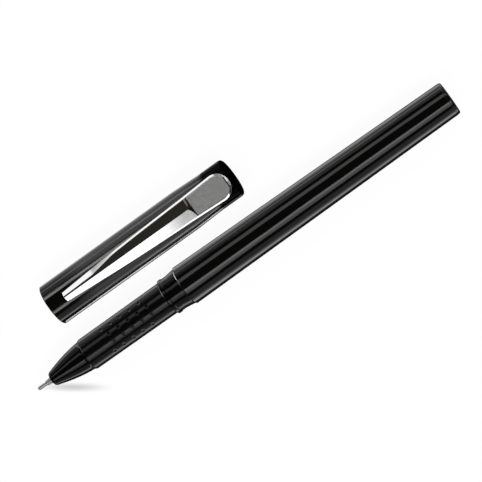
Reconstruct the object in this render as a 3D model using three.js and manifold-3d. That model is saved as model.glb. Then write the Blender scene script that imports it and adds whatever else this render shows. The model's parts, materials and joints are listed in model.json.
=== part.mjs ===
import * as THREE from 'three';
import { mergeVertices } from 'three/addons/utils/BufferGeometryUtils.js';
import Module from 'manifold-3d';

// A capped needle-tip pen, in millimetres: the pen lies along X with its tip toward -X,
// and its cap lies off beside it, clip up. The floor is z = 0.

const wasm = await Module();
wasm.setup();

// Running and fitting clearances
const fit = 0.05;              // radial gap of a pushed-in piece, and between butted faces
const looseFit = 0.15;         // radial gap of the refill tube in the nose

// Writing tip, measured from the front of the ball
const ballDiameter = 0.6;
const ballShown = 0.2;        // how far the ball stands out of the needle
const needleDiameter = 0.95;
const needleBore = 0.4;
const needleShown = 2.6;       // bare needle in front of the holder
const needleLength = 6.6;
const holderFrontDiameter = 1.2;
const holderDiameter = 1.7;
const holderTaper = 1.55;
const holderStem = 4.2;        // straight stem inside the nose
const holderCollarDiameter = 3.6;
const holderCollar = 0.8;
const holderTailDiameter = 2.0;
const holderTail = 2.6;
const inkwayDiameter = 0.7;

// Nose cone
const noseFrontDiameter = 2.3;
const noseRoundDiameter = 4.2; // where the blunt front round ends
const noseRoundLength = 1.25;
const noseBellyDiameter = 7.19;
const noseBackDiameter = 7.9;
const noseLength = 10.59;
const noseStepLength = 0.6;    // chamfered step up to the grip
const spigotLength = 6;

// Grip sleeve and its dimples
const gripFrontDiameter = 8.55;
const gripBackDiameter = 8.7;
const gripLength = 24.4;
const gripWall = 0.8;
const dimpleDiameter = 0.9;
const dimpleDepth = 0.13;
const dimplesPerRow = 5;
const dimplePitch = 2.86;
const dimpleStart = 6.7;         // first dimple centre behind the sleeve's front edge
const dimpleRows = 12;

// Grip section behind the sleeve
const coreWall = 0.6;
const ringDiameter = 9.6;     // snap ring that the cap clicks over
const ringWidth = 1.1;
const neckDiameter = 9.25;
const neckWidth = 1.25;
const coneDiameter = 9.9;
const coneLength = 2.55;
const tenonLength = 8;         // pushed into the barrel

// Barrel
const shoulderDiameter = 10.5;
const rearDiameter = 8.9;
const barrelLength = 78.1;
const barrelWall = 1;
const edgeBreak = 0.18;
const plugRimLength = 0.6;
const plugSpigotLength = 6;

// Refill
const refillDiameter = 5;
const refillWall = 0.5;
const refillTailRoom = 12;     // from the end of the tube to the pen's rear face
const jointNeck = 1.6;
const jointFlange = 1;
const jointPlug = 3.4;
const inkLength = 69;
const followerLength = 6;
const tailPlugLength = 5;
const tailFlange = 0.7;
const ventDiameter = 0.8;
const socketDepth = 4;         // length of refill tail held in the end plug

// Cap
const capDiameter = 11;
const capEndDiameter = 10.4;
const capStandOff = 0.1;       // between the closed cap's mouth and the barrel's shoulder
const capHeadLength = 10.2;   // cap beyond the writing ball
const capTaperStart = 14.6;    // measured back from the closed end
const capTaperLength = 7.6;
const capEndRound = 1;
const capEndWall = 1.3;
const capWall = 0.65;
const beadDiameter = 9.42;      // inner bead that holds the snap ring
const beadWidth = 0.5;
const linerLead = 0.35;        // chamfer at the liner's open end
const linerGripCover = 2.2;    // length of the grip's front that the liner covers
const linerNoseGap = 0.15;
const sealDiameter = 3.6;
const sealLength = 1.2;
const capSpacing = 14.8;       // between the pen's axis and the cap's
const capSetBack = 15.2;       // from the ball to the mouth of the cap that lies beside it
const capRoll = 2.5;           // lean of the clip toward the pen, in degrees

// Clip, in the cap's frame: u from the mouth, w across, h above the cap's axis
const clipMouthGap = 5.1;
const clipEndGap = 0.7;
const clipSheet = 0.45;
const clipFreeHalfWidth = 1.22;
const clipPadHalfWidth = 3.5;
const clipPadRound = 3.4;      // length over which the pad's end rounds in
const padLength = 11.5;        // from the ridge's end to the pad's end
const clipBevel = 0.3;         // width of the steep bevel beside the pad and most of the shank
const clipBevelFree = 0.95;    // the same at the free end
const clipBevelWide = 1.1;     // and where it is widest
const clipBevelWideAt = 7;     // from the free end to there
const clipBevelFade = 16;      // and to where it has narrowed
const clipBevelSlope = 1.2;
const clipRoofSlope = 0.195;   // of the two facets that meet in the ridge
const clipRidgeHalfWidth = 0.08;
const clipBrowFree = 1.55;     // top of the bevel above the cap's skin at the free end
const clipBrowHump = 2.05;     // the same at the pad's start
const clipBrowEnd = 0.95;      // the same at the closed end
const padScarp = 0.45;         // slope at which the ridge drops onto the pad
const padRecess = 0.12;
const padRim = 0.3;
const clipFlange = 0.9;        // side wall below the bevel
const clipFlangeFree = 0.2;
const clipFlangeEnd = 0.12;
const tongueLength = 3.2;
const tongueHalfWidth = 1.3;
const tongueDepth = 2.7;       // below the cap's skin
const tongueSetBack = 2.9;     // from the cap's closed end to the tongue
const tongueGap = 0.3;

const roundSteps = 40;
const innerSteps = 20;

// Stations along the pen, from the front of the ball
const noseX = needleShown + holderTaper;
const noseStepX = noseX + noseLength;
const gripX = noseStepX + noseStepLength;
const ringX = gripX + gripLength + fit;
const neckX = ringX + ringWidth;
const coneX = neckX + neckWidth;
const shoulderX = coneX + coneLength + 2 * fit;
const plugX = shoulderX + barrelLength + fit;
const penLength = plugX + plugRimLength;
const collarX = noseX + holderStem;
const tailX = collarX + holderCollar;
const jointX = tailX + fit;
const jointFlangeX = jointX + jointNeck;
const tubeX = jointFlangeX + jointFlange + fit;
const inkX = tubeX + jointPlug + fit;
const tubeEndX = penLength - refillTailRoom;

// Stations along the cap, from its mouth
const ballU = shoulderX - capStandOff;
const capLength = ballU + capHeadLength;
const taperU = capLength - capTaperStart;
const capEndU = taperU + capTaperLength;
const headU = ballU + sealLength + 4 * fit;

const gripBoreRadius = gripFrontDiameter / 2 - gripWall;
const coreRadius = gripBoreRadius - fit;
const coreBoreRadius = coreRadius - coreWall;
const lapRadius = (coreRadius + coreBoreRadius) / 2;
const refillRadius = refillDiameter / 2;
const refillBoreRadius = refillRadius - refillWall;
const barrelTaper = (shoulderDiameter - rearDiameter) / 2 / barrelLength;
const capRadius = capDiameter / 2;
const capEndRadius = capEndDiameter / 2;
const capBoreRadius = capRadius - capWall;
const headBoreRadius = capEndRadius - capWall - looseFit;

// A closed mesh with merged points, no flat triangles and its faces pointing out
function closed(geometry) {
  geometry.deleteAttribute('normal');
  geometry.deleteAttribute('uv');
  const merged = mergeVertices(geometry, 1e-5);
  const place = merged.attributes.position;
  const old = merged.index.array;
  const faces = [];
  let volume = 0;
  const a = new THREE.Vector3();
  const b = new THREE.Vector3();
  const c = new THREE.Vector3();
  for (let i = 0; i < old.length; i += 3) {
    const [p, q, r] = [old[i], old[i + 1], old[i + 2]];
    if (p === q || q === r || r === p) continue;
    faces.push(p, q, r);
    a.fromBufferAttribute(place, p);
    b.fromBufferAttribute(place, q);
    c.fromBufferAttribute(place, r);
    volume += a.dot(b.cross(c));
  }
  if (volume < 0) faces.reverse();
  merged.setIndex(faces);
  return merged;
}

// Solid of revolution about X, from [x, radius] points that form a closed outline
function revolve(outline, steps = roundSteps) {
  const points = outline.map(([x, radius]) => new THREE.Vector2(radius, x));
  const onAxis = outline[0][1] === 0 && outline.at(-1)[1] === 0;
  if (!onAxis) points.push(points[0].clone());
  const geometry = new THREE.LatheGeometry(points, steps);
  geometry.rotateZ(-Math.PI / 2);
  return closed(geometry);
}

function toSolid(geometry) {
  const vertProperties = Float32Array.from(geometry.attributes.position.array);
  const triVerts = Uint32Array.from(geometry.index.array);
  return new wasm.Manifold(new wasm.Mesh({ numProp: 3, vertProperties, triVerts }));
}

function toGeometry(solid) {
  const mesh = solid.getMesh();
  const geometry = new THREE.BufferGeometry();
  geometry.setAttribute('position', new THREE.BufferAttribute(mesh.vertProperties, 3));
  geometry.setIndex(new THREE.BufferAttribute(mesh.triVerts, 1));
  return geometry;
}

function cut(geometry, tools) {
  let solid = toSolid(geometry);
  for (const tool of tools) solid = solid.subtract(toSolid(tool));
  return toGeometry(solid);
}

function join(geometry, added) {
  return toGeometry(toSolid(geometry).add(toSolid(added)));
}

function block(x0, x1, y0, y1, z0, z1) {
  const geometry = new THREE.BoxGeometry(x1 - x0, y1 - y0, z1 - z0);
  geometry.translate((x0 + x1) / 2, (y0 + y1) / 2, (z0 + z1) / 2);
  return closed(geometry);
}

// Skin over rings of points that all have the same count, closed by flat ends
function loft(rings) {
  const count = rings[0].length;
  const positions = rings.flat().flatMap((point) => [point.x, point.y, point.z]);
  const faces = [];
  for (let i = 0; i + 1 < rings.length; i += 1) {
    for (let j = 0; j < count; j += 1) {
      const a = i * count + j;
      const b = i * count + (j + 1) % count;
      faces.push(a, b, b + count, a, b + count, a + count);
    }
  }
  const end = (rings.length - 1) * count;
  const flat = rings[0].map((point) => new THREE.Vector2(point.y, point.z));
  for (const [p, q, r] of THREE.ShapeUtils.triangulateShape(flat, [])) faces.push(r, q, p);
  const last = rings.at(-1).map((point) => new THREE.Vector2(point.y, point.z));
  for (const [p, q, r] of THREE.ShapeUtils.triangulateShape(last, [])) {
    faces.push(end + p, end + q, end + r);
  }
  const geometry = new THREE.BufferGeometry();
  geometry.setAttribute('position', new THREE.Float32BufferAttribute(positions, 3));
  geometry.setIndex(faces);
  return closed(geometry);
}

// Points of a round between two angles, in the outline's [x, radius] plane
function arc(x, radius, size, from, to, steps = 4) {
  return Array.from({ length: steps + 1 }, (_, i) => {
    const angle = from + (to - from) * i / steps;
    return [x + size * Math.cos(angle), radius + size * Math.sin(angle)];
  });
}

// Writing ball, needle and its holder
function writingBall() {
  const geometry = new THREE.SphereGeometry(ballDiameter / 2, 12, 8);
  geometry.translate(ballDiameter / 2, 0, 0);
  return closed(geometry);
}

function needleTube() {
  const seat = ballDiameter / 2 + fit;
  const front = ballDiameter / 2 - ballShown;
  const lip = arc(ballDiameter / 2, 0, seat, Math.acos(-front / seat), Math.PI / 2, 3);
  const seatEnd = ballDiameter + fit;
  const outer = needleDiameter / 2;
  return revolve([
    ...lip,
    [ballDiameter * 0.8, seat],
    [seatEnd, needleBore / 2],
    [needleLength, needleBore / 2],
    [needleLength, outer],
    [ballShown + 3 * fit, outer],
    [lip[0][0], (outer + seat) / 2],
  ], innerSteps);
}

function tipHolder() {
  const bore = needleDiameter / 2 + fit;
  const stem = holderDiameter / 2;
  const tail = holderTailDiameter / 2;
  return revolve([
    [needleShown, bore],
    [needleLength + fit, bore],
    [needleLength + fit, inkwayDiameter / 2],
    [tailX + holderTail, inkwayDiameter / 2],
    [tailX + holderTail, tail],
    [tailX, tail],
    [tailX, holderCollarDiameter / 2],
    [collarX + fit, holderCollarDiameter / 2],
    [collarX + fit, stem],
    [noseX, stem],
    [needleShown, holderFrontDiameter / 2],
  ], innerSteps);
}

// Outer radius of the nose at a distance behind its front edge
function noseCurve() {
  const front = new THREE.Vector2(noseX + noseRoundLength, noseRoundDiameter / 2);
  const back = new THREE.Vector2(noseStepX, noseBackDiameter / 2);
  const belly = new THREE.Vector2((front.x + back.x) / 2, noseBellyDiameter / 2);
  return new THREE.QuadraticBezierCurve(front, belly, back);
}

function noseOutline(offset, steps) {
  const rise = (noseRoundDiameter - noseFrontDiameter) / 2;
  const roundFacets = 3;
  const round = Array.from({ length: roundFacets + 1 }, (_, i) => {
    const angle = Math.PI / 2 * i / roundFacets;
    return [noseX + noseRoundLength * (1 - Math.cos(angle)) - offset,
      noseFrontDiameter / 2 + rise * Math.sin(angle) + offset];
  });
  const flank = noseCurve().getPoints(steps).slice(1);
  return [...round, ...flank.map((point) => [point.x, point.y + offset])];
}

function noseCone() {
  const stemBore = holderDiameter / 2 + fit;
  const collarBore = holderCollarDiameter / 2 + 2 * fit;
  const tubeBore = refillRadius + looseFit;
  const lapX = gripX + spigotLength / 2;
  return revolve([
    [noseX, stemBore],
    ...noseOutline(0, 6),
    [gripX - edgeBreak, gripFrontDiameter / 2 - edgeBreak / 2],
    [gripX - fit, gripFrontDiameter / 2 - edgeBreak],
    [gripX - fit, coreRadius],
    [lapX, coreRadius],
    [lapX, lapRadius - fit],
    [gripX + spigotLength, lapRadius - fit],
    [gripX + spigotLength, tubeBore],
    [jointFlangeX - fit, tubeBore],
    [jointFlangeX - fit, collarBore],
    [collarX, collarBore],
    [collarX, stemBore],
  ]);
}

// Grip sleeve, with staggered rows of shallow dimples
function dimple() {
  const radius = dimpleDiameter / 2;
  const geometry = new THREE.LatheGeometry([
    new THREE.Vector2(0, -dimpleDepth),
    new THREE.Vector2(radius * 0.6, -dimpleDepth * 0.7),
    new THREE.Vector2(radius, 0),
    new THREE.Vector2(radius * 1.4, dimpleDepth),
    new THREE.Vector2(radius * 1.4, 4 * dimpleDepth),
    new THREE.Vector2(0, 4 * dimpleDepth),
  ], 8);
  return closed(geometry);
}

function gripSleeve() {
  const front = gripFrontDiameter / 2;
  const back = gripBackDiameter / 2;
  const tube = revolve([
    [gripX, gripBoreRadius],
    [gripX, front - edgeBreak / 2],
    [gripX + edgeBreak / 2, front],
    [gripX + gripLength - edgeBreak, back],
    [gripX + gripLength, back - edgeBreak],
    [gripX + gripLength, gripBoreRadius],
  ]);
  const tools = [];
  for (let row = 0; row < dimpleRows; row += 1) {
    const turn = (row + 0.5) * 2 * Math.PI / dimpleRows;
    const shift = row % 3 === 1 ? -dimplePitch / 2 : 0;
    for (let i = 0; i < dimplesPerRow; i += 1) {
      const x = gripX + dimpleStart + dimplePitch * (i + 0.5) + shift;
      const share = (x - gripX) / gripLength;
      const tool = dimple();
      tool.translate(0, front + (back - front) * share, 0);
      tool.rotateX(turn + Math.PI / 2);
      tool.translate(x, 0, 0);
      tools.push(tool);
    }
  }
  return cut(tube, tools);
}

// Grip section: a core tube under the sleeve, the snap ring, the cone and a tenon
function gripSection() {
  const ring = ringDiameter / 2;
  const neck = neckDiameter / 2;
  const cone = coneDiameter / 2;
  const lapX = gripX + spigotLength / 2 + fit;
  const tenon = shoulderDiameter / 2 - barrelWall - fit;
  const coneEnd = coneX + coneLength;
  return revolve([
    [lapX, lapRadius],
    [lapX, coreRadius],
    [ringX, coreRadius],
    [ringX, ring - edgeBreak],
    [ringX + edgeBreak, ring],
    [neckX - edgeBreak, ring],
    [neckX, neck],
    [coneX, neck],
    [coneEnd - edgeBreak, cone],
    [coneEnd, cone - edgeBreak / 2],
    [coneEnd, tenon],
    [coneEnd + tenonLength - edgeBreak, tenon],
    [coneEnd + tenonLength, tenon - edgeBreak],
    [coneEnd + tenonLength, coreBoreRadius],
    [gripX + spigotLength + fit, coreBoreRadius],
    [gripX + spigotLength + fit, lapRadius],
  ]);
}

// Barrel tube, tapered to the rear, and the plug that closes it
const rearBoreX = shoulderX + barrelLength - plugSpigotLength - 2 * fit;

function barrelBoreAt(x) {
  return shoulderDiameter / 2 - barrelTaper * (x - shoulderX) - barrelWall - edgeBreak;
}

function barrel() {
  const front = shoulderDiameter / 2;
  const rear = rearDiameter / 2;
  const socket = front - barrelWall;
  const socketEnd = shoulderX + tenonLength + 2 * fit;
  const end = shoulderX + barrelLength;
  return revolve([
    [shoulderX, socket],
    [shoulderX, front - edgeBreak],
    [shoulderX + edgeBreak, front],
    [end, rear],
    [end, rear - barrelWall],
    [rearBoreX, rear - barrelWall],
    [rearBoreX, barrelBoreAt(rearBoreX)],
    [socketEnd, barrelBoreAt(socketEnd)],
    [socketEnd, socket],
  ]);
}

function endPlug() {
  const rim = rearDiameter / 2;
  const spigot = rim - barrelWall - fit;
  const socket = refillRadius + fit;
  const sleeve = barrelBoreAt(rearBoreX) - looseFit;
  const front = tubeEndX - socketDepth;
  const spigotX = plugX - plugSpigotLength;
  return revolve([
    [tubeEndX + tailFlange + 4 * fit, 0],
    [tubeEndX + tailFlange + 4 * fit, socket],
    [front, socket],
    [front, sleeve],
    [spigotX, sleeve],
    [spigotX, spigot],
    [plugX, spigot],
    [plugX, rim - fit],
    ...arc(penLength - 2 * edgeBreak, rim - fit - 2 * edgeBreak, 2 * edgeBreak, Math.PI / 2, 0, 2),
    [penLength, 0],
  ]);
}

// Refill: joint behind the tip holder, tube, ink, follower and vented tail plug
function refillJoint() {
  const neck = holderCollarDiameter / 2 + fit;
  const bore = holderTailDiameter / 2 + fit;
  const plug = refillBoreRadius - fit;
  return revolve([
    [jointX, bore],
    [jointX, neck],
    [jointFlangeX, neck],
    [jointFlangeX, refillRadius],
    [tubeX - fit, refillRadius],
    [tubeX - fit, plug],
    [tubeX + jointPlug, plug],
    [tubeX + jointPlug, inkwayDiameter / 2],
    [tailX + holderTail + fit, inkwayDiameter / 2],
    [tailX + holderTail + fit, bore],
  ], innerSteps);
}

function refillTube() {
  return revolve([
    [tubeX, refillBoreRadius],
    [tubeX, refillRadius],
    [tubeEndX, refillRadius],
    [tubeEndX, refillBoreRadius],
  ], innerSteps);
}

function plugOf(from, to) {
  const radius = refillBoreRadius - fit;
  return revolve([[from, 0], [from, radius], [to, radius], [to, 0]], innerSteps);
}

function tailPlug() {
  const plug = refillBoreRadius - fit;
  return revolve([
    [tubeEndX - tailPlugLength, ventDiameter / 2],
    [tubeEndX - tailPlugLength, plug],
    [tubeEndX + fit, plug],
    [tubeEndX + fit, refillRadius],
    [tubeEndX + fit + tailFlange, refillRadius],
    [tubeEndX + fit + tailFlange, ventDiameter / 2],
  ], innerSteps);
}

// Opening in the cap's wall and in the plug behind it, for the clip's tongue
function tongueSlot() {
  const u1 = capLength - tongueSetBack;
  const half = tongueHalfWidth + tongueGap;
  const bottom = capEndRadius - tongueDepth - tongueGap;
  return block(u1 - tongueLength - tongueGap, u1 + tongueGap, -half, half, bottom, capRadius);
}

// Cap shell: a mouth that opens over the cone, the snap bead, a long bore and a narrower head
function capShell() {
  const bead = beadDiameter / 2;
  const beadU = ballU - neckX - beadWidth - fit;
  const mouthBore = coneDiameter / 2 + 2 * fit;
  const endBore = capLength - capEndWall;
  const tube = revolve([
    [edgeBreak, capRadius],
    [taperU, capRadius],
    [capEndU, capEndRadius],
    ...arc(capLength - capEndRound, capEndRadius - capEndRound, capEndRound, Math.PI / 2, 0),
    [capLength, 0],
    [endBore, 0],
    [endBore, headBoreRadius],
    [headU, headBoreRadius],
    [headU, headBoreRadius + looseFit],
    [taperU, capBoreRadius],
    [beadU + beadWidth + edgeBreak, capBoreRadius],
    [beadU + beadWidth, bead],
    [beadU, bead],
    [beadU - edgeBreak, bead + edgeBreak],
    [0, mouthBore],
    [0, capRadius - edgeBreak],
  ]);
  return cut(tube, [tongueSlot()]);
}

// Liner that closes round the nose and keeps the tip from drying
function capLiner() {
  const outer = capBoreRadius - fit;
  const cover = gripFrontDiameter / 2 + 2 * fit;
  const nose = noseOutline(linerNoseGap, 3).reverse();
  const inner = nose.map(([x, radius]) => [ballU - x, radius]);
  const front = ballU - gripX - linerGripCover;
  const sealU = ballU + fit;
  const chamber = holderDiameter / 2 + linerNoseGap;
  return revolve([
    [front, outer - linerLead / 2],
    [front + linerLead, outer],
    [taperU, outer],
    [headU - fit, headBoreRadius + looseFit - fit],
    [headU - fit, sealDiameter / 2 + fit],
    [sealU, sealDiameter / 2 + fit],
    [sealU, chamber],
    ...inner.reverse(),
    [ballU - gripX, cover],
    [front + linerLead, cover],
  ]);
}

function capSeal() {
  const from = ballU + 2 * fit;
  const radius = sealDiameter / 2;
  return revolve([
    [from, 0],
    [from, radius],
    [from + sealLength, radius],
    [from + sealLength, 0],
  ], innerSteps);
}

function clipRetainer() {
  const radius = headBoreRadius - fit;
  const to = capLength - capEndWall - fit;
  const plug = revolve([[headU, 0], [headU, radius], [to, radius], [to, 0]]);
  return cut(plug, [tongueSlot()]);
}

// Clip: a pressed channel with a ridge that runs into a sloping flat pad
const clipStart = clipMouthGap;
const clipEnd = capLength - clipEndGap;
const padStart = clipEnd - padLength;

function blend(value, stops) {
  const found = stops.findIndex(([at]) => value <= at);
  const i = found < 0 ? stops.length - 1 : Math.max(1, found);
  const [[a, from], [b, to]] = [stops[i - 1], stops[i]];
  const share = THREE.MathUtils.clamp((value - a) / (b - a), 0, 1);
  return from + (to - from) * share;
}

function clipHalfWidth(u) {
  const flank = blend(u, [[clipStart, clipFreeHalfWidth], [clipEnd - clipPadRound, clipPadHalfWidth]]);
  const inRound = Math.max(0, u - (clipEnd - clipPadRound)) / clipPadRound;
  return flank * Math.sqrt(1 - inRound ** 2);
}

// Height of the cap's outer skin above its axis
function skinHeight(u) {
  return blend(u, [[taperU, capRadius], [capEndU, capEndRadius]]);
}

// Height of the bevels' upper edges: a long low arch that runs down to the closed end
function clipBrow(u) {
  if (u <= padStart) {
    const rise = Math.sin((u - clipStart) / (padStart - clipStart) * Math.PI / 2);
    return skinHeight(u) + clipBrowFree + (clipBrowHump - clipBrowFree) * rise;
  }
  const hump = skinHeight(padStart) + clipBrowHump;
  const end = capEndRadius + clipBrowEnd;
  return hump + (end - hump) * ((u - padStart) / padLength) ** 1.4;
}

function bevelWidth(u) {
  return blend(u, [
    [clipStart, clipBevelFree],
    [clipStart + clipBevelWideAt, clipBevelWide],
    [clipStart + clipBevelFade, clipBevel],
  ]);
}

// The ridge drops down a short scarp onto the pad, a flat just below the bevels' edges
function padHeight(u) {
  const ridge = (clipHalfWidth(padStart) - clipBevel) * clipRoofSlope;
  const scarp = clipBrow(padStart) + ridge - (u - padStart) * padScarp;
  return Math.max(scarp, clipBrow(u) - padRecess);
}

function clipRing(u) {
  const half = clipHalfWidth(u);
  const brow = clipBrow(u);
  const toEnd = clipEnd - u;
  const bevel = Math.min(bevelWidth(u), toEnd, half * 0.85);
  const edge = brow - bevelWidth(u) * clipBevelSlope;
  const crest = edge + bevel * clipBevelSlope;
  const shoulder = half - bevel;
  let knee = Math.min(clipRidgeHalfWidth, shoulder / 2);
  let top = crest + shoulder * clipRoofSlope;
  if (u > padStart) {
    const inPad = toEnd > clipBevel + padRim;
    top = inPad ? Math.min(padHeight(u), top) : crest;
    const onRoof = shoulder - (top - crest) / clipRoofSlope;
    knee = THREE.MathUtils.clamp(onRoof, knee, Math.max(shoulder - padRim, shoulder / 2));
  }
  const flange = blend(u, [
    [clipStart, clipFlangeFree],
    [clipStart + clipBevelWideAt, clipFlangeFree],
    [clipStart + clipBevelFade, clipFlange],
    [padStart, clipFlange],
    [clipEnd, clipFlangeEnd],
  ]);
  const foot = edge - flange;
  const inside = Math.max(half - clipSheet, half * 0.55);
  const innerShoulder = Math.min(inside * 0.98, Math.max(shoulder - clipSheet / 2, inside / 2));
  const innerKnee = Math.min(knee, innerShoulder * 0.98);
  const clear = foot + fit / 2;
  const right = [
    [half, foot],
    [half, edge],
    [shoulder, crest],
    [knee, top],
  ];
  const rightInner = [
    [innerKnee, Math.max(top - clipSheet, clear + fit / 2)],
    [innerShoulder, Math.max(crest - clipSheet, clear)],
    [inside, Math.max(edge - clipSheet / 3, clear)],
    [inside, foot],
  ];
  const mirror = (points) => points.map(([w, h]) => [-w, h]).reverse();
  const outline = [...right, ...mirror(right), ...mirror(rightInner), ...rightInner];
  return outline.map(([w, h]) => new THREE.Vector3(u, w, h));
}

function evenly(from, to, steps) {
  return Array.from({ length: steps }, (_, i) => from + (to - from) * i / steps);
}

function clip() {
  const roundU = clipEnd - clipPadRound;
  const rimU = clipEnd - clipBevel - padRim;
  const stations = [
    ...evenly(clipStart, padStart, 20),
    ...evenly(padStart, padStart + 1.6, 6),
    ...evenly(padStart + 1.6, roundU, 6),
    ...evenly(roundU, rimU, 7),
    rimU,
    clipEnd - clipBevel,
    clipEnd - clipBevel / 2,
    clipEnd - fit,
  ];
  const sheet = loft(stations.map(clipRing));
  const u1 = capLength - tongueSetBack;
  const top = padHeight(u1) - fit;
  const foot = capEndRadius - tongueDepth;
  const tongue = block(u1 - tongueLength, u1, -tongueHalfWidth, tongueHalfWidth, foot, top);
  return join(sheet, tongue);
}

// Finishes
const blackPlastic = { color: 0x0a0a0b, roughness: 0.16, metalness: 0 };
const linerPlastic = { color: 0x2a2a2c, roughness: 0.5, metalness: 0 };
const chrome = { color: 0xd9dadd, roughness: 0.12, metalness: 1 };
const steel = { color: 0xb9bbbf, roughness: 0.3, metalness: 1 };
const carbide = { color: 0x6d7075, roughness: 0.25, metalness: 1 };
const clearPlastic = { color: 0xdfe6e8, roughness: 0.25, metalness: 0, transparent: true, opacity: 0.4 };
const ink = { color: 0x08080c, roughness: 0.4, metalness: 0 };
const grease = { color: 0xcfc9a8, roughness: 0.45, metalness: 0 };
const rubber = { color: 0x3a3a3a, roughness: 0.85, metalness: 0 };

function piece(name, geometry, finish) {
  const mesh = new THREE.Mesh(geometry, new THREE.MeshStandardMaterial(finish));
  mesh.name = name;
  return mesh;
}

const pen = new THREE.Group();
pen.add(
  piece('writing_ball', writingBall(), carbide),
  piece('needle_tube', needleTube(), steel),
  piece('tip_holder', tipHolder(), steel),
  piece('nose_cone', noseCone(), blackPlastic),
  piece('grip_sleeve', gripSleeve(), blackPlastic),
  piece('grip_section', gripSection(), blackPlastic),
  piece('barrel', barrel(), blackPlastic),
  piece('end_plug', endPlug(), blackPlastic),
  piece('refill_joint', refillJoint(), clearPlastic),
  piece('refill_tube', refillTube(), clearPlastic),
  piece('ink_column', plugOf(inkX, inkX + inkLength), ink),
  piece('grease_follower', plugOf(inkX + inkLength + fit, inkX + inkLength + followerLength), grease),
  piece('refill_tail_plug', tailPlug(), clearPlastic),
);

const cap = new THREE.Group();
cap.add(
  piece('cap_shell', capShell(), blackPlastic),
  piece('cap_liner', capLiner(), linerPlastic),
  piece('cap_seal', capSeal(), rubber),
  piece('clip_retainer', clipRetainer(), linerPlastic),
  piece('clip', clip(), chrome),
);

// Both lie on the floor, and the pair is centred over the origin
const shoulderRadius = shoulderDiameter / 2;
const penY = (shoulderRadius - capRadius - capSpacing) / 2;
pen.position.set(-penLength / 2, penY, shoulderRadius);
cap.position.set(capSetBack - penLength / 2, penY + capSpacing, capRadius);
cap.rotation.x = THREE.MathUtils.degToRad(capRoll);

const model = new THREE.Group();
model.add(pen, cap);

export default model;
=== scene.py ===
import json
import math

import bmesh
import bpy
from mathutils import Matrix, Vector

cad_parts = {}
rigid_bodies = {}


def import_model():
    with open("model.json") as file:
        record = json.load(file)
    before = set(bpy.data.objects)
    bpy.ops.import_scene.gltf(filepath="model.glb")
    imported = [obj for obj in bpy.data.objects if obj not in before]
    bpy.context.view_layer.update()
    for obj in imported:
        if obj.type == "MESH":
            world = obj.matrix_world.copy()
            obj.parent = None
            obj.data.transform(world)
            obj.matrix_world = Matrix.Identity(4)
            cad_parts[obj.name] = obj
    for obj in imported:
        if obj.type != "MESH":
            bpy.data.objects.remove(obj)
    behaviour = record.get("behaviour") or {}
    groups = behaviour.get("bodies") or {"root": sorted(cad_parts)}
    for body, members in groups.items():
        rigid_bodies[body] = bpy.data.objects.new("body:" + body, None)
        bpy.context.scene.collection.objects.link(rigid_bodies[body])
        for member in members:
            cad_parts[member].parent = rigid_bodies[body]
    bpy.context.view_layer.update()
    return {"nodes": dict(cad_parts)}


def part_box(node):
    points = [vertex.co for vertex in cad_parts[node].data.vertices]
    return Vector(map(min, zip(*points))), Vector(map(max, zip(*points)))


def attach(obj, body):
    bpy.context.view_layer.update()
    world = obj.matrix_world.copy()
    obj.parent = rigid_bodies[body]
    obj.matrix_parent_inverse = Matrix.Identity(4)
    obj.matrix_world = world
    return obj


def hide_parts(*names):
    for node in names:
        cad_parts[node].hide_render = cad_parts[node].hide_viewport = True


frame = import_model()
print("frame loaded:", len(frame["nodes"]), "nodes")

mm = 0.001  # sizes are in millimetres unless a note names another unit
fullTurn = 2 * math.pi

barrelLow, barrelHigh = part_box("barrel")
capLow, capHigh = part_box("cap_shell")
ballLow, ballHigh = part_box("writing_ball")
penAxis = (barrelLow + barrelHigh) / 2  # only y and z are used
capAxis = (capLow + capHigh) / 2
capRoll = math.radians(2.5)  # the cap leans this far toward the pen


# Helpers for meshes

def addObject(name, data):
    obj = bpy.data.objects.new(name, data)
    bpy.context.scene.collection.objects.link(obj)
    return obj


def meshObject(name, verts, faces):
    mesh = bpy.data.meshes.new(name)
    mesh.from_pydata([tuple(v) for v in verts], [], faces)
    mesh.validate()
    return addObject(name, mesh)


# Merges doubled points, turns the faces outward and shades them smoothly, with sharp edges kept
def finishMesh(obj, sharpAngle=40):
    weld, sliver = 1e-7, 1e-8  # metres
    bm = bmesh.new()
    bm.from_mesh(obj.data)
    bmesh.ops.remove_doubles(bm, verts=bm.verts, dist=weld)
    bmesh.ops.dissolve_degenerate(bm, edges=bm.edges, dist=sliver)
    bmesh.ops.recalc_face_normals(bm, faces=bm.faces)
    bm.to_mesh(obj.data)
    bm.free()
    obj.data.shade_smooth()
    obj.data.set_sharp_from_angle(angle=math.radians(sharpAngle))
    return obj


# Faces between neighbouring rings of points; what is closed comes back to its start
def ringFaces(rings, points, ringsClosed, pointsClosed):
    faces = []
    for i in range(rings if ringsClosed else rings - 1):
        here, there = i * points, (i + 1) % rings * points
        for j in range(points if pointsClosed else points - 1):
            k = (j + 1) % points
            faces.append((here + j, here + k, there + k, there + j))
    return faces


def aroundAxis(axis, x, radius, angle):
    return x, axis.y + radius * math.cos(angle), axis.z + radius * math.sin(angle)


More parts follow.
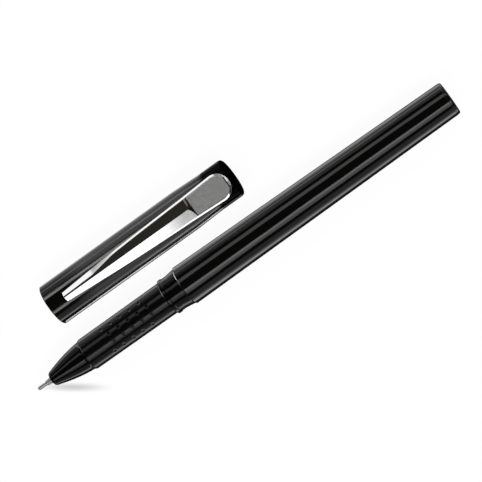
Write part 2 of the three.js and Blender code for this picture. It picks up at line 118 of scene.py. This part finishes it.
# The outline of a turned CAD node as points (x, radius), read along its lowest line
def cadOutline(node, axis, roll):
    weld, near = 2e-7, 3e-6  # metres
    down = Vector((0, math.sin(roll), -math.cos(roll)))
    side = Vector((0, math.cos(roll), math.sin(roll)))
    bm = bmesh.new()
    bm.from_mesh(frame["nodes"][node].data)
    bmesh.ops.remove_doubles(bm, verts=bm.verts, dist=weld)

    def away(vert, direction):
        return (vert.co - axis).dot(direction)

    onLine = [v for v in bm.verts if abs(away(v, side)) < near and away(v, down) > -near]
    links = {v: [] for v in onLine}
    for v in onLine:
        links[v] = [edge.other_vert(v) for edge in v.link_edges if edge.other_vert(v) in links]
    ends = [v for v in onLine if len(links[v]) == 1]
    walk, last = [(ends or onLine)[0]], None
    while True:
        following = [v for v in links[walk[-1]] if v is not last and v not in walk[1:]]
        if not following or following[0] is walk[0]:
            break
        last = walk[-1]
        walk.append(following[0])
    outline = [(v.co.x, max(0.0, away(v, down))) for v in walk]
    bm.free()
    return outline, not ends


# Leaves out the points that lie on a straight stretch
def straightened(outline, closed):
    shortest, leastBend = 1e-9, 1e-4
    kept = []
    count = len(outline)
    for i, point in enumerate(outline):
        if not closed and i in (0, count - 1):
            kept.append(point)
            continue
        corner = Vector(point)
        before = corner - Vector(outline[i - 1])
        after = Vector(outline[(i + 1) % count]) - corner
        if min(before.length, after.length) < shortest:
            continue
        if abs(before.normalized().cross(after.normalized())) > leastBend:
            kept.append(point)
    return kept


# Rounds each corner; one more point beside each round keeps the flat there flat in the shading
def filleted(outline, closed, radius):
    steps, mostOfSide, beside = 4, 0.4, 1.2
    made = []
    count = len(outline)
    for i, point in enumerate(outline):
        if not closed and i in (0, count - 1):
            made.append(point)
            continue
        corner = Vector(point)
        back = Vector(outline[i - 1]) - corner
        ahead = Vector(outline[(i + 1) % count]) - corner
        reach = min(radius, back.length * mostOfSide, ahead.length * mostOfSide)
        back, ahead = back.normalized() * reach, ahead.normalized() * reach
        made.append(tuple(corner + back * beside))
        for k in range(steps + 1):
            t = k / steps
            bend = (corner + back) * (1 - t) ** 2 + corner * (2 * t * (1 - t)) + (corner + ahead) * t ** 2
            made.append(tuple(bend))
        made.append(tuple(corner + ahead * beside))
    return made


def dress(obj, material, body, slot, *nodes):
    obj.data.materials.clear()
    obj.data.materials.append(material)
    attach(obj, body)
    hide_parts(*nodes)


# Turned pieces follow the outlines of their CAD nodes; round is the radius on their edges
def makeTurned(pieces, axis, body, roll=0):
    for name, piece in pieces.items():
        outline, closed = cadOutline(piece["node"], axis, roll)
        outline = filleted(straightened(outline, closed), closed, piece["round"] * mm)
        verts = []
        for i in range(piece["sides"]):
            verts += [aroundAxis(axis, x, radius, fullTurn * i / piece["sides"]) for x, radius in outline]
        faces = ringFaces(piece["sides"], len(outline), True, closed)
        obj = finishMesh(meshObject(name, verts, faces))
        dress(obj, finishes[piece["finish"]], body, piece["slot"], piece["node"])


# Helpers for materials

# Adds a shader node; an input is either a value or the socket that feeds it
def addNode(tree, kind, inputs=None, **settings):
    node = tree.nodes.new("ShaderNode" + kind)
    for name, value in settings.items():
        setattr(node, name, value)
    for key, value in (inputs or {}).items():
        if isinstance(value, bpy.types.NodeSocket):
            tree.links.new(value, node.inputs[key])
        else:
            node.inputs[key].default_value = value
    return node


def maths(tree, operation, *values):
    return addNode(tree, "Math", dict(enumerate(values)), operation=operation).outputs[0]


# Maps one stretch of numbers onto another, and holds the values beyond its ends
def ranged(tree, source, stretch, onto=(0, 1), curve="LINEAR"):
    ends = {"From Min": stretch[0], "From Max": stretch[1], "To Min": onto[0], "To Max": onto[1]}
    return addNode(tree, "MapRange", {"Value": source, **ends}, interpolation_type=curve).outputs["Result"]


def objectPlace(tree):
    return addNode(tree, "TexCoord").outputs["Object"]


def splitPlace(tree, place):
    return addNode(tree, "SeparateXYZ", {0: place}).outputs


# Greys along one direction; each stop is a place in metres and the level there
def levelRamp(tree, source, stops):
    first, last = stops[0][0], stops[-1][0]
    ramp = addNode(tree, "ValToRGB", {"Fac": ranged(tree, source, (first, last))})
    for place, level in stops[1:-1]:
        ramp.color_ramp.elements.new((place - first) / (last - first))
    for element, (place, level) in zip(ramp.color_ramp.elements, stops):
        element.color = (level, level, level, 1)
    return ramp.outputs["Color"]


def noiseNode(tree, scale, detail, stretch=(1, 1, 1)):
    mapping = addNode(tree, "Mapping", {"Vector": objectPlace(tree), "Scale": stretch})
    inputs = {"Vector": mapping.outputs["Vector"], "Scale": scale, "Detail": detail}
    return addNode(tree, "TexNoise", inputs).outputs["Fac"]


def spread(tree, noise, low, high):
    filled = (0.3, 0.7)  # nearly all of a noise lies between these
    return ranged(tree, noise, filled, (low, high))


def mixed(tree, share, one, two):
    mix = addNode(tree, "Mix", {"Factor": share, "A": one, "B": two}, data_type="RGBA")
    return mix.outputs["Result"]


def bumped(tree, source, shader, height, strength):
    bump = addNode(tree, "Bump", {"Height": source, "Distance": height * mm, "Strength": strength})
    tree.links.new(bump.outputs["Normal"], shader.inputs["Normal"])


def newMaterial(name):
    material = bpy.data.materials.new(name)
    material.use_nodes = True
    return material, material.node_tree, material.node_tree.nodes["Principled BSDF"]


# Moulded plastic: faint clouds of two tones, fine grain, and either soft waves or lengthwise flow lines
def plasticMaterial(name, tones, rough, waves=0.02, lines=0, gloss=0.5, clear=0):
    look = {
        "clouds": 160, "cloudStretch": (0.25, 1, 1), "grain": 900, "waveHeight": 0.02,
        "lines": 1300, "lineStretch": (0.02, 1, 1),
    }
    material, tree, shader = newMaterial(name)
    clouds = noiseNode(tree, look["clouds"], 3, look["cloudStretch"])
    grain = noiseNode(tree, look["grain"], 5)
    dark, light = tones
    tree.links.new(mixed(tree, clouds, (*dark, 1), (*light, 1)), shader.inputs["Base Color"])
    tree.links.new(spread(tree, grain, *rough), shader.inputs["Roughness"])
    shader.inputs["Specular IOR Level"].default_value = gloss
    shader.inputs["Transmission Weight"].default_value = clear
    if lines:
        bumped(tree, noiseNode(tree, look["lines"], 3, look["lineStretch"]), shader, lines, 1)
    else:
        bumped(tree, clouds, shader, look["waveHeight"], waves)
    return material


# Metal: clouds of two tones and drawn or even grain
def metalMaterial(name, tones, rough, stretch=(1, 1, 1), relief=0.05):
    look = {"clouds": 220, "streaks": 1400, "streakHeight": 0.004}
    material, tree, shader = newMaterial(name)
    shader.inputs["Metallic"].default_value = 1
    streaks = noiseNode(tree, look["streaks"], 4, stretch)
    clouds = noiseNode(tree, look["clouds"], 3)
    dark, light = tones
    tree.links.new(mixed(tree, clouds, (*dark, 1), (*light, 1)), shader.inputs["Base Color"])
    tree.links.new(spread(tree, streaks, *rough), shader.inputs["Roughness"])
    bumped(tree, streaks, shader, look["streakHeight"], relief)
    return material


black = ((0.0012, 0.0012, 0.0013), (0.0022, 0.0022, 0.0024))
plastics = {
    "blackGrip": {"tones": black, "rough": (0.14, 0.22), "waves": 0.05, "gloss": 0.3},
    "noseGloss": {"tones": black, "rough": (0.07, 0.11), "gloss": 0.24},
    "blackGloss": {"tones": black, "rough": (0.06, 0.1), "lines": 0.015},
    "capGloss": {"tones": black, "rough": (0.06, 0.1), "lines": 0.04},
    "linerDull": {"tones": ((0.02, 0.02, 0.021), (0.03, 0.03, 0.032)), "rough": (0.4, 0.55), "waves": 0.1},
    "sealRubber": {"tones": ((0.03, 0.03, 0.03), (0.05, 0.05, 0.05)), "rough": (0.7, 0.85), "waves": 0.2},
    "clearTube": {"tones": ((0.7, 0.74, 0.75), (0.8, 0.83, 0.84)), "rough": (0.2, 0.3), "clear": 0.6},
    "blackInk": {"tones": ((0.004, 0.004, 0.007), (0.008, 0.008, 0.012)), "rough": (0.3, 0.4)},
    "amberGrease": {"tones": ((0.55, 0.48, 0.3), (0.66, 0.6, 0.4)), "rough": (0.3, 0.4)},
}
plating = {
    "tones": ((0.44, 0.44, 0.45), (0.52, 0.52, 0.52)), "rough": (0.05, 0.1),
    "stretch": (0.1, 1, 1), "relief": 0.02,
}
metals = {
    "clipSatin": {"tones": ((0.42, 0.42, 0.42), (0.52, 0.52, 0.52)), "rough": (0.38, 0.48)},
    "clipChrome": plating,
    "clipEdge": plating,
    "needleSteel": {
        "tones": ((0.36, 0.36, 0.36), (0.46, 0.46, 0.45)), "rough": (0.24, 0.34), "stretch": (0.1, 1, 1),
    },
    "ballCarbide": {"tones": ((0.1, 0.1, 0.1), (0.16, 0.16, 0.16)), "rough": (0.25, 0.35)},
}
finishes = {name: plasticMaterial(name, **look) for name, look in plastics.items()}
finishes.update({name: metalMaterial(name, **look) for name, look in metals.items()})


# The cap's closed end is blacker and duller than the rest of it. Its middle carries a painted sheen: a
# lighter grey with lengthwise streaks stands in for reflections
def finishCapGloss():
    look = {
        # Distances from the closed end, with the gloss and the grey of the painted sheen there
        "gloss": [(8, 0.5), (7.2, 0.5), (6, 0.02), (0.9, 0.02), (0.6, 0), (0, 0)],
        "sheenGrey": [(52, 0.0016), (48, 0.0016), (42, 0.04), (12, 0.04), (6.5, 0.0016), (0, 0.0016)],
        "lines": 1700, "stretch": (0.01, 1, 1), "least": 0.1, "most": 2,
    }
    tree = finishes["capGloss"].node_tree
    shader = tree.nodes["Principled BSDF"]
    along = splitPlace(tree, objectPlace(tree))["X"]
    gloss, sheenGrey = [
        levelRamp(tree, along, [(capHigh.x - far * mm, level) for far, level in look[stops]])
        for stops in ("gloss", "sheenGrey")
    ]
    # Painted reflection streaks: lengthwise lines of lighter and darker grey in the base colour
    lines = spread(tree, noiseNode(tree, look["lines"], 4, look["stretch"]), look["least"], look["most"])
    streaked = addNode(tree, "VectorMath", {0: sheenGrey, 1: lines}, operation="MULTIPLY")
    tree.links.new(gloss, shader.inputs["Specular IOR Level"])
    tree.links.new(streaked.outputs["Vector"], shader.inputs["Base Color"])


# Painted shade on the clip: towards the pad, the facet toward the pen turns a darker, grainy grey that dims
# its reflection there
def finishClipChrome():
    look = {
        "from": 24, "to": 13.2,    # from the cap's closed end
        "ridge": (-0.1, -0.5),     # from the cap's middle
        "grain": 2200, "dark": (0.1, 0.1, 0.1, 1), "light": (0.24, 0.24, 0.24, 1),
    }
    tree = finishes["clipChrome"].node_tree
    baseColour = tree.nodes["Principled BSDF"].inputs["Base Color"]
    plated = baseColour.links[0].from_socket
    paintedShadeGrain = mixed(tree, noiseNode(tree, look["grain"], 3), look["dark"], look["light"])
    place = splitPlace(tree, objectPlace(tree))
    stretch = [capHigh.x - look[end] * mm for end in ("from", "to")]
    nearPad = ranged(tree, place["X"], stretch, curve="SMOOTHSTEP")
    towardPen = ranged(tree, place["Y"], [capAxis.y + y * mm for y in look["ridge"]])
    share = maths(tree, "MULTIPLY", nearPad, towardPen)
    tree.links.new(mixed(tree, share, plated, paintedShadeGrain), baseColour)


finishCapGloss()
finishClipChrome()
print("materials made")


# Writing tip

def makeBall():
    sides = {"u_segments": 48, "v_segments": 32}
    bm = bmesh.new()
    bmesh.ops.create_uvsphere(bm, radius=(ballHigh.x - ballLow.x) / 2, **sides)
    bm.transform(Matrix.Translation((ballLow + ballHigh) / 2))
    mesh = bpy.data.meshes.new("writingBall")
    bm.to_mesh(mesh)
    bm.free()
    mesh.shade_smooth()
    dress(addObject("writingBall", mesh), finishes["ballCarbide"], "ball", "ball_carbide", "writing_ball")


steel = {"finish": "needleSteel", "slot": "needle_steel"}
tipPieces = {
    "needleTube": {"node": "needle_tube", "round": 0.04, "sides": 64, **steel},
    "tipHolder": {"node": "tip_holder", "round": 0.08, "sides": 96, **steel},
}
makeBall()
makeTurned(tipPieces, penAxis, "pen")
print("tip made")


# Black turned pieces of the pen

nosePlastic = {"sides": 192, "finish": "noseGloss", "slot": "black_gloss"}
barrelPlastic = {"sides": 192, "finish": "blackGloss", "slot": "black_gloss"}
bodyPieces = {
    "noseCone": {"node": "nose_cone", "round": 0.5, **nosePlastic},
    "gripSection": {"node": "grip_section", "round": 0.03, **nosePlastic},
    "barrelTube": {"node": "barrel", "round": 0.02, **barrelPlastic},
    "endPlug": {"node": "end_plug", "round": 0.1, **barrelPlastic},
}
makeTurned(bodyPieces, penAxis, "pen")
print("pen body made")


# Grip sleeve with its staggered rows of dimples

def makeGrip():
    form = {
        "rows": 12, "perRow": 5, "pitch": 2.86,
        "start": 6.7,                    # from the sleeve's front edge to half a pitch before a row
        "radius": 0.45, "depth": 0.13, "bowl": 0.8,
        "lip": 0.012, "lipEnds": 1.5,    # a soft raised edge round each dimple, which ends at 1.5 radii
        "inset": 0.01,                   # keeps the lips inside the CAD sleeve
        "taper": 0.075, "wall": 0.8,
        "edge": 0.09, "frontRound": 0.1, "backRound": 0.18,
        "sides": 288, "step": 0.2, "fineStep": 0.075, "fineWithin": 1.7,
    }
    low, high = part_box("grip_sleeve")
    length = (high.x - low.x) / mm
    back = (high.y - low.y) / 2 / mm
    front = back - form["taper"]
    inner = front - form["wall"]
    centres = []
    for row in range(form["rows"]):
        turn = (row + 0.5) * fullTurn / form["rows"]
        shift = -form["pitch"] / 2 if row % 3 == 1 else 0    # every third row is half a pitch off
        for i in range(form["perRow"]):
            centres.append((form["start"] + form["pitch"] * (i + 0.5) + shift, turn))

    stations = [form["edge"]]
    while stations[-1] < length - form["edge"]:
        nearest = min(abs(stations[-1] - x) for x, turn in centres)
        fine = nearest < form["radius"] * form["fineWithin"]
        stations.append(stations[-1] + (form["fineStep"] if fine else form["step"]))
    stations[-1] = length - form["edge"]

    def skin(x, angle):
        radius = front + (back - front) * x / length
        drop = 0
        for centre, turn in centres:
            along = abs(x - centre)
            if along > form["radius"] * form["lipEnds"]:
                continue
            swing = (angle - turn + math.pi) % fullTurn - math.pi
            reach = math.hypot(along, swing * radius) / form["radius"]
            if reach < 1:
                drop = max(drop, form["depth"] * (1 - reach ** 2) ** form["bowl"])
            elif reach < form["lipEnds"]:
                drop -= form["lip"] * math.sin((reach - 1) / (form["lipEnds"] - 1) * math.pi)
        return radius - max(drop, -form["inset"]) - form["inset"]

    verts = []
    for i in range(form["sides"]):
        angle = fullTurn * i / form["sides"]
        profile = [(0, inner), (0, front - form["frontRound"])]
        profile += [(x, skin(x, angle)) for x in stations]
        profile += [(length, back - form["backRound"]), (length, inner)]
        verts += [aroundAxis(penAxis, low.x + x * mm, radius * mm, -angle) for x, radius in profile]
    faces = ringFaces(form["sides"], len(profile), True, True)
    grip = finishMesh(meshObject("gripSleeve", verts, faces))
    dress(grip, finishes["blackGrip"], "pen", "black_gloss", "grip_sleeve")


makeGrip()
print("grip made")


# Cap, whose clip follows below

capPieces = {
    "capShell": {
        "node": "cap_shell", "round": 0.15, "sides": 192, "finish": "capGloss", "slot": "black_gloss",
    },
    "capLiner": {
        "node": "cap_liner", "round": 0.1, "sides": 192, "finish": "linerDull", "slot": "liner_plastic",
    },
}
makeTurned(capPieces, capAxis, "cap", capRoll)
print("cap made")


# Clip: a pressed channel whose two facets meet in a ridge that drops onto a flat pad

# A value read from stops (place, level) with straight stretches between them
def blend(value, *stops):
    for (a, low), (b, high) in zip(stops, stops[1:]):
        if value <= b:
            share = min(1, max(0, (value - a) / (b - a)))
            return low + (high - low) * share
    return stops[-1][1]


# The same with its corners rounded off over half a millimetre
def eased(value, *stops):
    steps = (-0.5, -0.25, 0, 0.25, 0.5)
    return sum(blend(value + step, *stops) for step in steps) / len(steps)


def makeClip():
    # Along the clip, u runs from the cap's mouth to its closed end
    form = {
        "mouthGap": 5.1, "endGap": 0.7, "sheet": 0.45, "fillet": 0.04,
        "freeHalf": 1.22, "padHalf": 3.5, "belly": 0.2,    # half widths, and how far the sides bulge
        "padRound": 3.4, "padLength": 12.1, "recess": 0.12, "rim": 0.15,
        "bevel": 0.46, "bevelFree": 0.9, "bevelWide": 1.24,
        "bevelWideAt": 8.8, "bevelFade": 16,               # from the free end
        "bevelSlope": 1.2, "bevelMost": 0.85,              # at most this share of the half width
        "roofSlope": 0.195, "ridgeFlat": 0.05, "scarpRound": 1.7, "scarpLength": 1.6,
        "browFree": 1.55, "browHump": 2.02, "browEnd": 0.95, "browFall": 1.4,
        "flange": 0.9, "flangeFree": 0.2, "flangeEnd": 0.12,
        "taperAt": 14.6, "taperLength": 7.6, "endRadius": 5.2,    # the cap's taper under the clip
        "hollowLeast": 0.55, "within": 0.98, "clear": 0.025, "least": 0.02,
    }
    capLength = (capHigh.x - capLow.x) / mm
    capRadius = (capHigh.y - capLow.y) / 2 / mm
    taper = capLength - form["taperAt"]
    start = form["mouthGap"]
    end = capLength - form["endGap"]
    padStart = end - form["padLength"]
    roundAt = end - form["padRound"]
    rimAt = end - form["bevel"] - form["rim"]
    bevelWideAt = start + form["bevelWideAt"]
    bevelFade = start + form["bevelFade"]

    def capHeight(u):
        return blend(u, (taper, capRadius), (taper + form["taperLength"], form["endRadius"]))

    def halfWidth(u):
        flank = blend(u, (start, form["freeHalf"]), (roundAt, form["padHalf"]))
        flank += form["belly"] * math.sin(math.pi * min(1, (u - start) / (padStart - start)))
        inRound = max(0, u - roundAt) / form["padRound"]
        return flank * math.sqrt(max(0, 1 - inRound ** 2))

    # Height of the edge between bevel and roof
    def brow(u):
        if u <= padStart:
            rise = math.sin((u - start) / (padStart - start) * math.pi / 2)
            return capHeight(u) + form["browFree"] + (form["browHump"] - form["browFree"]) * rise
        hump = capHeight(padStart) + form["browHump"]
        last = form["endRadius"] + form["browEnd"]
        return hump + (last - hump) * ((u - padStart) / form["padLength"]) ** form["browFall"]

    def padHeight(u):
        ridge = (halfWidth(padStart) - form["bevel"]) * form["roofSlope"]
        radius, past = form["scarpRound"], u - padStart
        steep = radius * math.sqrt(0.5)    # where the round has turned down by 45 degrees
        drop = radius - math.sqrt(radius ** 2 - min(past, steep) ** 2) + max(0, past - steep)
        return max(brow(padStart) + ridge - drop, brow(u) - form["recess"])

    # The closed outline across the clip at u, as points (width, height)
    def ring(u):
        half = max(form["least"], halfWidth(u))
        toEnd = end - u
        bevelWidth = eased(
            u,
            (start, form["bevelFree"]),
            (bevelWideAt, form["bevelWide"]),
            (bevelFade, form["bevel"]),
        )
        bevel = min(bevelWidth, max(form["least"], toEnd), half * form["bevelMost"])
        edge = brow(u) - bevelWidth * form["bevelSlope"]
        crest = edge + bevel * form["bevelSlope"]
        shoulder = half - bevel
        knee = min(form["ridgeFlat"], shoulder / 2)
        top = crest + shoulder * form["roofSlope"]
        if u > padStart:
            inPad = toEnd > form["bevel"] + form["rim"]
            top = min(padHeight(u), top) if inPad else crest
            onRoof = shoulder - (top - crest) / form["roofSlope"]
            knee = min(max(onRoof, knee), max(shoulder - form["rim"], shoulder / 2))
        flange = blend(
            u,
            (bevelWideAt, form["flangeFree"]),
            (bevelFade, form["flange"]),
            (padStart, form["flange"]),
            (end, form["flangeEnd"]),
        )
        foot = edge - flange
        inside = max(half - form["sheet"], half * form["hollowLeast"])
        innerShoulder = min(inside * form["within"], max(shoulder - form["sheet"] / 2, inside / 2))
        innerKnee = min(knee, innerShoulder * form["within"])
        clear = foot + form["clear"]
        outer = [(half, foot), (half, edge), (shoulder, crest), (knee, top)]
        inner = [
            (innerKnee, max(top - form["sheet"], clear + form["clear"])),
            (innerShoulder, max(crest - form["sheet"], clear)),
            (inside, max(edge - form["sheet"] / 3, clear)),
            (inside, foot),
        ]
        outline = outer + [(-w, h) for w, h in reversed(outer)]
        outline += [(-w, h) for w, h in reversed(inner)] + inner
        return filleted(outline, True, form["fillet"])

    scarpEnd = padStart + form["scarpLength"]
    stretches = [
        (start, padStart, 90), (padStart, scarpEnd, 16), (scarpEnd, roundAt, 24), (roundAt, rimAt, 20),
    ]
    stations = [a + (b - a) * i / steps for a, b, steps in stretches for i in range(steps)]
    stations += [rimAt, end - form["bevel"]] + [end - gap for gap in (0.22, 0.15, 0.09, 0.05)]
    verts = []
    for u in stations:
        for w, h in ring(u):
            across = w * math.cos(capRoll) - h * math.sin(capRoll)
            height = w * math.sin(capRoll) + h * math.cos(capRoll)
            verts.append((capLow.x + u * mm, capAxis.y + across * mm, capAxis.z + height * mm))
    count = len(verts) // len(stations)
    faces = ringFaces(len(stations), count, False, True)
    faces.append(tuple(reversed(range(count))))
    faces.append(tuple(range(len(verts) - count, len(verts))))
    sheet = finishMesh(meshObject("pocketClip", verts, faces), 32)
    dress(sheet, finishes["clipChrome"], "clip", "clip_chrome", "clip")
    sheet.data.materials.append(finishes["clipSatin"])
    sheet.data.materials.append(finishes["clipEdge"])

    # The pad's flat is satin, and the bevels and sides keep their shine up to the pad, without the painted
    # shade
    pad = {"from": padStart + 0.6, "to": rimAt, "half": 3.4, "leastArea": 0.1, "level": 0.985, "steep": 0.5}
    for face in sheet.data.polygons:
        u = (face.center.x - capLow.x) / mm
        across = abs(face.center.y - capAxis.y) / mm
        onPad = pad["from"] < u < pad["to"] and across < pad["half"]
        if onPad and face.normal.z > pad["level"] and face.area > pad["leastArea"] * mm * mm:
            face.material_index = 1
        elif abs(face.normal.y) > pad["steep"]:
            face.material_index = 2


makeClip()
print("clip made")


# Inner pieces keep their CAD shape

def finishInnerNodes():
    inner = {
        "refill_joint": ("clearTube", "clear_plastic"),
        "refill_tube": ("clearTube", "clear_plastic"),
        "refill_tail_plug": ("clearTube", "clear_plastic"),
        "ink_column": ("blackInk", "black_ink"),
        "grease_follower": ("amberGrease", "grease"),
        "cap_seal": ("sealRubber", "seal_rubber"),
        "clip_retainer": ("linerDull", "liner_plastic"),
    }
    for name, (finish, slotName) in inner.items():
        node = frame["nodes"][name]
        node.data.materials.clear()
        node.data.materials.append(finishes[finish])


finishInnerNodes()
print("inner pieces dressed")


# Pen and cap aren't mirrored in each other, only the clip is
def partMirrors():
    for obj in bpy.context.scene.objects:
        if obj.type == "MESH" and obj.name != "pocketClip":
            obj.visible_glossy = False


partMirrors()


# Floor, lamps and camera

# Object coordinates counted from a patch's middle, in units of its half sizes
def patchPlace(tree, patch):
    inputs = {
        "Vector": objectPlace(tree),
        "Location": (patch["at"][0] * mm, patch["at"][1] * mm, 0),
        "Rotation": (0, 0, math.radians(patch["turn"])),
        "Scale": (patch["half"][0] * mm, patch["half"][1] * mm, 1),
    }
    return addNode(tree, "Mapping", inputs, vector_type="TEXTURE").outputs["Vector"]


def makeFloor():
    look = {
        "half": 3,       # metres
        "board": 0.9,    # the white that lights the pieces from below
        "seen": 0.1,     # the camera sees less of the board and more of the glow, so shadows are paler
        "glow": 0.95,
        "tipShade": {"at": (-55.7, -12.0), "half": (11.5, 1.6), "turn": -35.33, "depth": 0.38},
        # Painted reflection: the floor glows for mirror rays alone, this bright at each y, which paints
        # bright and dark bands on the shiny sides
        "paintedReflection": [
            (-60, 1), (-50, 1.6), (-40, 3.2), (-29, 3.2), (-24, 0.4), (-20, 0.03),
            (-4, 0.03), (0.5, 0.2), (3, 1.7), (6, 1.8),
            (13, 1.3), (17, 1.1), (24, 0.5), (31, 0.6), (50, 0.35), (66, 0.5), (86, 2),
        ],
        "paintedReflectionFade": (70, 120),    # between these distances along the pen the painted reflection goes dark
        "darkEnd": 0.02,
        "paintedRimHighlight": {"at": (-19, -4), "half": (29, 1.2), "turn": 0, "level": 4.2},    # painted highlight: a glowing strip by the cap's side puts a bright line along the cap's rim
    }
    size = look["half"]
    corners = [(-size, -size, 0), (size, -size, 0), (size, size, 0), (-size, size, 0)]
    floor = meshObject("floor", corners, [range(4)])
    material, tree, shader = newMaterial("floorWhite")
    tree.nodes.remove(shader)
    path = addNode(tree, "LightPath")
    toCamera, inMirror = path.outputs["Is Camera Ray"], path.outputs["Is Glossy Ray"]

    white = ranged(tree, toCamera, (0, 1), (look["board"], look["seen"]))
    boardWhite = maths(tree, "MULTIPLY", white, maths(tree, "SUBTRACT", 1, inMirror))
    board = addNode(tree, "BsdfDiffuse", {"Color": boardWhite})

    # Painted reflection: mirror rays see no board, only this glow in bands along y that fade toward the
    # ends, and a strip for the cap's rim highlight
    place = splitPlace(tree, objectPlace(tree))
    brightest = max(level for y, level in look["paintedReflection"])
    stops = [(y * mm, level / brightest) for y, level in look["paintedReflection"]]
    bands = levelRamp(tree, place["Y"], stops)
    far = maths(tree, "ABSOLUTE", place["X"])
    ends = ranged(tree, far, [x * mm for x in look["paintedReflectionFade"]], (1, look["darkEnd"]))
    strip = look["paintedRimHighlight"]
    fromStrip = splitPlace(tree, patchPlace(tree, strip))
    inStrip = [maths(tree, "COMPARE", fromStrip[side], 0, 1) for side in ("X", "Y")]
    stripShare = maths(tree, "MULTIPLY", *inStrip)
    reflectionPattern = maths(
        tree, "MULTIPLY_ADD", stripShare, strip["level"] / brightest, maths(tree, "MULTIPLY", bands, ends)
    )
    paintedMirrorGlow = maths(tree, "MULTIPLY", maths(tree, "MULTIPLY", reflectionPattern, inMirror), brightest)

    # A soft painted shadow beside the tip, dipped out of the floor's glow
    shade = look["tipShade"]
    spot = addNode(tree, "TexGradient", {"Vector": patchPlace(tree, shade)}, gradient_type="SPHERICAL")
    shaded = (look["glow"], look["glow"] * (1 - shade["depth"]))
    seenGlow = ranged(tree, spot.outputs["Fac"], (0, 1), shaded, "SMOOTHSTEP")
    strength = maths(tree, "MULTIPLY_ADD", toCamera, seenGlow, paintedMirrorGlow)
    glow = addNode(tree, "Emission", {"Strength": strength})
    both = addNode(tree, "AddShader", {0: board.outputs[0], 1: glow.outputs[0]})
    tree.links.new(both.outputs[0], tree.nodes["Material Output"].inputs["Surface"])
    floor.data.materials.append(material)


# Strip lamps along the pen; sizes and distances are in metres
def makeLamps():
    # The angle from straight up toward -Y, the distance, the width, the length and the radiance
    lights = {
        "allButCap": {
            "stripLeft": (-37, 0.45, 0.13, 1.8, 1.2),
            "stripRight": (23, 0.45, 0.09, 1.1, 2.8),
            "stripRightFaint": (36, 0.45, 0.11, 1.1, 1.4),
        },
        "cap": {"capLeft": (-50, 0.45, 0.1, 1.8, 4), "capRight": (36, 0.45, 0.11, 1.1, 3.6)},
        "all": {"sideLeft": (-80, 0.5, 0.25, 1.1, 0.45), "sideRight": (78, 0.5, 0.3, 1.1, 0.35)},
    }
    # The cap was lit apart from the pen, so it has two strips of its own
    groups = {"all": None}
    for lit, name, state in (("allButCap", "capUnlit", "EXCLUDE"), ("cap", "capLit", "INCLUDE")):
        groups[lit] = bpy.data.collections.new(name)
        groups[lit].objects.link(bpy.data.objects["capShell"])
        groups[lit].collection_objects[0].light_linking.link_state = state
    for lit, lamps in lights.items():
        for name, (angle, distance, width, length, radiance) in lamps.items():
            lamp = bpy.data.lights.new(name, "AREA")
            lamp.shape = "RECTANGLE"
            lamp.size, lamp.size_y = length, width
            lamp.energy = radiance * math.pi * width * length
            obj = addObject(name, lamp)
            turn = math.radians(angle)
            obj.location = Vector((0, -math.sin(turn), math.cos(turn))) * distance
            obj.rotation_euler = (turn, 0, 0)
            if groups[lit]:
                obj.light_linking.receiver_collection = groups[lit]


# A dim warm world lights the pieces; past the floor's edge the camera sees white
def makeWorld():
    look = {"colour": (1, 0.9, 0.75, 1), "strength": 0.04, "seen": (1, 1, 1, 1)}
    world = bpy.data.worlds.new("studio")
    world.use_nodes = True
    tree = world.node_tree
    dim = tree.nodes["Background"]
    dim.inputs["Color"].default_value = look["colour"]
    dim.inputs["Strength"].default_value = look["strength"]
    white = addNode(tree, "Background", {"Color": look["seen"]})
    toCamera = addNode(tree, "LightPath").outputs["Is Camera Ray"]
    both = addNode(tree, "MixShader", {0: toCamera, 1: dim.outputs[0], 2: white.outputs[0]})
    tree.links.new(both.outputs[0], tree.nodes["World Output"].inputs["Surface"])
    bpy.context.scene.world = world


def makeCamera():
    shot = {
        "aim": (62.45, 0.95),    # from the tip along the pen, and towards the cap
        "scale": 4.131,          # pixels per millimetre at the pen's axis
        "turn": 35.33,           # the pen's slope in the picture, in degrees
        "tilt": 8.5,             # how far the camera leans over the barrel's rear
        "distance": 560,
        "pixels": 482,
        "sensor": 36,
        "clip": (0.01, 20),      # metres
    }
    tilt, turn = math.radians(shot["tilt"]), math.radians(shot["turn"])
    back = Vector((math.sin(tilt), 0, math.cos(tilt)))
    along = Vector((math.cos(tilt), 0, -math.sin(tilt)))
    across = Vector((0, 1, 0))
    right = along * math.cos(turn) - across * math.sin(turn)
    up = along * math.sin(turn) + across * math.cos(turn)
    aim = Vector((ballLow.x + shot["aim"][0] * mm, penAxis.y + shot["aim"][1] * mm, penAxis.z))
    place = Matrix((right, up, back)).transposed().to_4x4()
    place.translation = aim + back * shot["distance"] * mm
    camera = bpy.data.cameras.new("camera")
    camera.sensor_width = shot["sensor"]
    camera.lens = shot["sensor"] * shot["scale"] * shot["distance"] / shot["pixels"]
    camera.clip_start, camera.clip_end = shot["clip"]
    obj = addObject("camera", camera)
    obj.matrix_world = place
    bpy.context.scene.camera = obj


makeFloor()
makeLamps()
makeWorld()
makeCamera()
bpy.context.scene.view_settings.view_transform = "Standard"
print("stage made")
